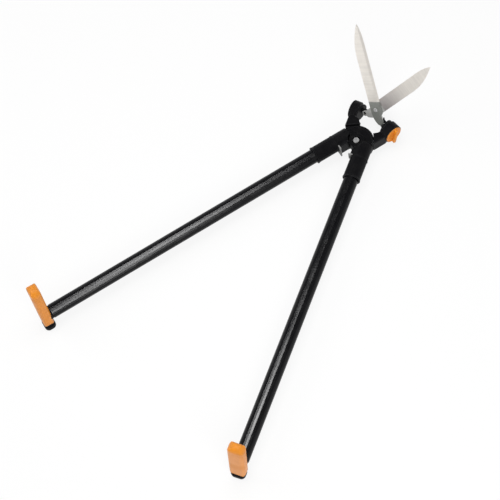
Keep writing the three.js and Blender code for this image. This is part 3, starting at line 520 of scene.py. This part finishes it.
# %% [markdown]
# Tubes, blades, buffers and turned parts keep their crisp shape and only have their edges broken.
# The pivot bolt and the blade screw are zinc plated, the nuts, pins and socket screws are bright,
# and the steel washers, clips, lock plug and grip screws are plain. The bush and the swivel rings
# are brass, and the thrust washer, lock pad and seat ring are pale plastic.

# %% Dress the tubes, blades and turned parts
TUBE_BEVEL, BLADE_BEVEL, RUBBER_BEVEL, TURNED_BEVEL = 0.0003, 0.0002, 0.0004, 0.00025

for name in ("left_tube", "right_tube", "pivot_head_washer"):
    bevelled(name, TUBE_ENAMEL, TUBE_BEVEL)
bevelled("front_blade", FRONT_STEEL, BLADE_BEVEL)
bevelled("rear_blade", REAR_STEEL, BLADE_BEVEL)
for name in ("left_buffer", "right_buffer"):
    bevelled(name, GREY_RUBBER, RUBBER_BEVEL)
BRIGHT_PIECES = ("pivot_cap_nut", "blade_lock_nut", "front_tail_pin", "rear_tail_pin",
                 "left_socket_screw", "right_socket_screw")
ZINC_PIECES = ("pivot_bolt", "blade_screw")
PLAIN_PIECES = ("pivot_nut_washer", "blade_spring_washer", "lock_plug",
                "left_spindle_clip", "right_spindle_clip", "left_grip_screw", "right_grip_screw")
BRASS_PIECES = ("pivot_bush", "left_swivel_ring", "right_swivel_ring")
SLIDE_PIECES = ("thrust_washer", "lock_pad", "left_seat_ring")
for names, material in ((BRIGHT_PIECES, BRIGHT_STEEL), (ZINC_PIECES, ZINC_PLATE),
                        (PLAIN_PIECES, PLAIN_STEEL), (BRASS_PIECES, BRASS),
                        (SLIDE_PIECES, SLIDE_PLASTIC)):
    for name in names:
        bevelled(name, material, TURNED_BEVEL)
print("dressed:", len([n for n in nodes.values() if n.data.materials]))

# %% [markdown]
# Where the arm of the right barrel leaves the lower disc, the moulding fills the corner between
# the two. The frame's solid leaves a thin wedge open there, which would show as a white slit. A
# small extruded wedge closes it. It starts inside the disc, so that no seam can open, and it
# turns with the lower lever like everything moulded on it.

# %% Root of the right arm
LEVER_TURN = math.radians(-19.1)    # of the lower lever, as the shears lie open
PIVOT_HEIGHT = joints["handle_pivot"]["pos_m"][2]
ROOT_RADIUS = 0.0362
ROOT_FROM, ROOT_TO = math.radians(34.0), math.radians(50.0)
ROOT_CORNER = (0.033, 0.024)
ROOT_BOTTOM, ROOT_TOP = -0.0165, 0.0105
ROOT_STEPS = 6
ROOT_BEVEL = 0.0006


def arm_root():
    turns = [ROOT_FROM + (ROOT_TO - ROOT_FROM) * step / ROOT_STEPS for step in range(ROOT_STEPS + 1)]
    outline = [(ROOT_RADIUS * math.cos(turn), ROOT_RADIUS * math.sin(turn)) for turn in reversed(turns)]
    outline.append(ROOT_CORNER)
    count = len(outline)
    placed = Matrix.Translation((0, 0, PIVOT_HEIGHT)) @ Matrix.Rotation(LEVER_TURN, 4, "Z")
    corners = [placed @ Vector((x, y, z)) for z in (ROOT_BOTTOM, ROOT_TOP) for x, y in outline]
    sides = [(i, (i + 1) % count, (i + 1) % count + count, i + count) for i in range(count)]
    mesh = bpy.data.meshes.new("right_arm_root")
    ends = [tuple(range(count - 1, -1, -1)), tuple(range(count, 2 * count))]
    mesh.from_pydata(corners, [], ends + sides)
    shell = bmesh.new()
    shell.from_mesh(mesh)
    bmesh.ops.recalc_face_normals(shell, faces=shell.faces)
    shell.to_mesh(mesh)
    shell.free()
    mesh.materials.append(BLACK_PLASTIC)
    piece = bpy.data.objects.new("right_arm_root", mesh)
    scene.collection.objects.link(piece)
    rounded = piece.modifiers.new("mould_radii", "BEVEL")
    rounded.width = ROOT_BEVEL
    rounded.segments = BEVEL_SEGMENTS
    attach(piece, "left_handle")
    return piece


print("arm root corners:", len(arm_root().data.vertices))

# %% [markdown]
# ## Floor and light
# The shears lie on a plain white floor. The floor takes shadows as any matt surface does, and for
# rays that come from the camera or from a reflection most of it is plain white, so the picture's
# background stays white without more light on the object.

# %% Floor
FLOOR_HALF = 8.0
FLOOR_DROP = 0.0003
FLOOR_COLOUR = (0.93, 0.93, 0.93, 1)
WHITE_SHARE = 0.85

floor_mesh = bpy.data.meshes.new("floor")
quarters = ((-1, -1), (1, -1), (1, 1), (-1, 1))
corners = [(x * FLOOR_HALF, y * FLOOR_HALF, -FLOOR_DROP) for x, y in quarters]
floor_mesh.from_pydata(corners, [], [(0, 1, 2, 3)])
floor = bpy.data.objects.new("floor", floor_mesh)
scene.collection.objects.link(floor)


def seen_directly(tree):
    """1 for rays from the camera, and for those that a gloss or glass surface sends on."""
    path = add(tree, "ShaderNodeLightPath").outputs
    seen = math_node(tree, "ADD", path["Is Camera Ray"], path["Is Glossy Ray"])
    return math_node(tree, "ADD", seen, path["Is Transmission Ray"], clamp=True)


floor_material, tree, shader = new_material("pale_floor", Roughness=0.9)
shader.inputs["Base Color"].default_value = FLOOR_COLOUR
white = add(tree, "ShaderNodeEmission", Color=(1, 1, 1, 1), Strength=1.0)
share = math_node(tree, "MULTIPLY", seen_directly(tree), WHITE_SHARE)
blended = add(tree, "ShaderNodeMixShader", i0=share, i1=shader.outputs[0], i2=white.outputs[0])
tree.links.new(blended.outputs[0], tree.nodes["Material Output"].inputs["Surface"])
floor_mesh.materials.append(floor_material)
print("floor", 2 * FLOOR_HALF, "m across")

# %% [markdown]
# The studio is white at the horizon and dim overhead, so that gloss black stays black in its
# reflections. The light that it gives to matt surfaces is even, and has its own strength.

# %% World
AMBIENT = 0.3
HORIZON = 1.0
OVERHEAD = 0.2
DIMS_FROM, DIMS_TO = 0.05, 0.7
world = bpy.data.worlds.new("studio")
world.use_nodes = True
scene.world = world
tree = world.node_tree
backdrop = tree.nodes["Background"]
backdrop.inputs["Color"].default_value = (1, 1, 1, 1)
height = add(tree, "ShaderNodeSeparateXYZ",
             Vector=add(tree, "ShaderNodeTexCoord").outputs["Generated"]).outputs["Z"]
seen_glow = ramp_value(tree, height, DIMS_FROM, DIMS_TO, HORIZON, OVERHEAD)
glow = add(tree, "ShaderNodeMix", {"data_type": "FLOAT"}, i0=seen_directly(tree), i2=AMBIENT,
           i3=seen_glow)
tree.links.new(glow.outputs[0], backdrop.inputs["Strength"])
print("world:", AMBIENT, "on matt surfaces,", HORIZON, "to", OVERHEAD, "in reflections")

# %% [markdown]
# A gloss tube mirrors a lamp as one long pale line, so two panels here only show in reflections.
# They lie where the tubes mirror them into the camera: one above the shears for the right tube,
# and one on the right, lower than the camera, for the left tube. They are linked to the tubes
# alone, because ground steel would mirror them as plain white, and they stay modest, because from
# behind the tubes mirror them far more strongly. Three plain soft boxes light the matt surfaces
# from the top and both sides, and no gloss shows them.

# %% Lamps
def soft_box(name, place, target, wide, long, power, mirrored):
    data = bpy.data.lights.new(name, "AREA")
    data.shape = "RECTANGLE"
    data.size = wide
    data.size_y = long
    data.energy = power
    lamp = bpy.data.objects.new(name, data)
    lamp.location = place
    lamp.rotation_euler = (Vector(target) - Vector(place)).to_track_quat("-Z", "Y").to_euler()
    lamp.visible_glossy = mirrored
    lamp.visible_diffuse = not mirrored
    scene.collection.objects.link(lamp)
    return lamp


tubes_only = bpy.data.collections.new("tubes_only")
for name in ("left_tube", "right_tube"):
    tubes_only.objects.link(nodes[name])

SOFT_BOXES = {
    "top_box": dict(place=(-0.10, -0.12, 2.0), target=(0.05, -0.56, 0.0),
                    wide=1.2, long=1.4, power=22),
    "side_box": dict(place=(1.56, -1.2, 1.5), target=(-0.2, -0.55, 0.03),
                     wide=1.0, long=0.8, power=18),
    "left_fill": dict(place=(-1.8, -1.2, 1.6), target=(0.0, -0.3, 0.0),
                      wide=1.4, long=1.4, power=14),
}
PANELS = {
    "left_tube_panel": dict(place=(1.50, -1.26, 1.5), target=(-0.2, -0.60, 0.03),
                            wide=0.75, long=0.75, power=95),
    "right_tube_panel": dict(place=(-0.12, -0.34, 1.5), target=(0.17, -0.50, 0.03),
                             wide=0.6, long=0.7, power=60),
}
for name, values in SOFT_BOXES.items():
    soft_box(name, mirrored=False, **values)
for name, values in PANELS.items():
    panel = soft_box(name, mirrored=True, **values)
    panel.light_linking.receiver_collection = tubes_only
